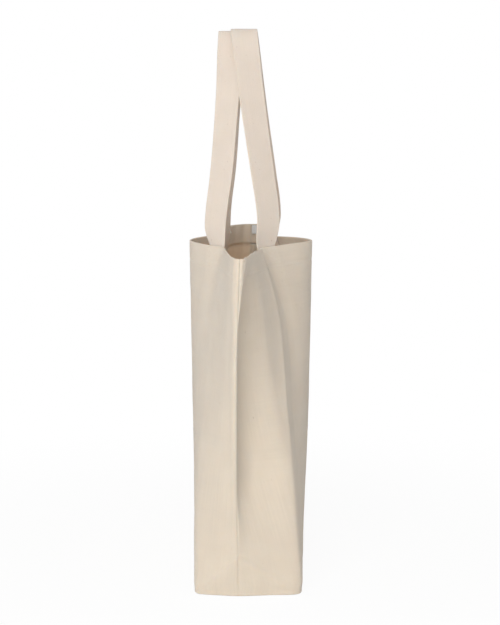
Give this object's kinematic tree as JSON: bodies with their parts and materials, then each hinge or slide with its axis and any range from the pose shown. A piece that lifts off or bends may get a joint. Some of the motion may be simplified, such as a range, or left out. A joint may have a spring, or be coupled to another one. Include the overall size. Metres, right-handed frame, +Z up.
{
  "type": "tote bag",
  "caption": "Open-topped canvas tote bag with a boxed flat bottom, turned hem and strap handles sewn inside the hem, standing open with its handles up.",
  "frame": {"origin": "on the floor, under the middle of the bag", "axes": "+X along the bag's width towards the right side seam, +Y towards the back panel, +Z up through the mouth and the handles"},
  "size_m": [0.4678, 0.1496, 0.6428],
  "materials": {
    "canvas": "undyed cotton canvas, plain weave, matte",
    "hem_canvas": "inside and turned layers of the same undyed cotton canvas, matte",
    "strap_canvas": "folded and edge-stitched cotton canvas strap, matte",
    "cotton_thread": "natural cotton sewing thread",
    "label_tape": "plain white woven tape, blank"
  },
  "bodies": {
    "bag": {"front_panel": "canvas", "back_panel": "canvas", "front_hem": "hem_canvas", "back_hem": "hem_canvas", "front_hem_stitching": "cotton_thread", "back_hem_stitching": "cotton_thread", "front_handle_left_flex": "strap_canvas", "front_handle_right_flex": "strap_canvas", "back_handle_left_flex": "strap_canvas", "back_handle_right_flex": "strap_canvas", "front_handle_left_sewn_end": "strap_canvas", "front_handle_right_sewn_end": "strap_canvas", "back_handle_left_sewn_end": "strap_canvas", "back_handle_right_sewn_end": "strap_canvas", "front_handle_left_stitching": "cotton_thread", "front_handle_right_stitching": "cotton_thread", "back_handle_left_stitching": "cotton_thread", "back_handle_right_stitching": "cotton_thread", "left_side_seam_allowance": "hem_canvas", "right_side_seam_allowance": "hem_canvas", "left_bottom_corner_allowance": "hem_canvas", "right_bottom_corner_allowance": "hem_canvas", "bottom_seam_allowance": "hem_canvas", "hem_label": "label_tape"},
    "front_handle": {"front_handle": "strap_canvas"},
    "back_handle": {"back_handle": "strap_canvas"}
  },
  "joints": [
    {"name": "front_handle_swing", "type": "hinge", "parent": "bag", "child": "front_handle", "pos_m": [0, -0.0516, 0.404], "axis": [1, 0, 0], "range_deg": [0, 165], "deforming": ["front_handle_left_flex", "front_handle_right_flex"]},
    {"name": "back_handle_swing", "type": "hinge", "parent": "bag", "child": "back_handle", "pos_m": [0, 0.0371, 0.404], "axis": [-1, 0, 0], "range_deg": [0, 165], "deforming": ["back_handle_left_flex", "back_handle_right_flex"]}
  ]
}
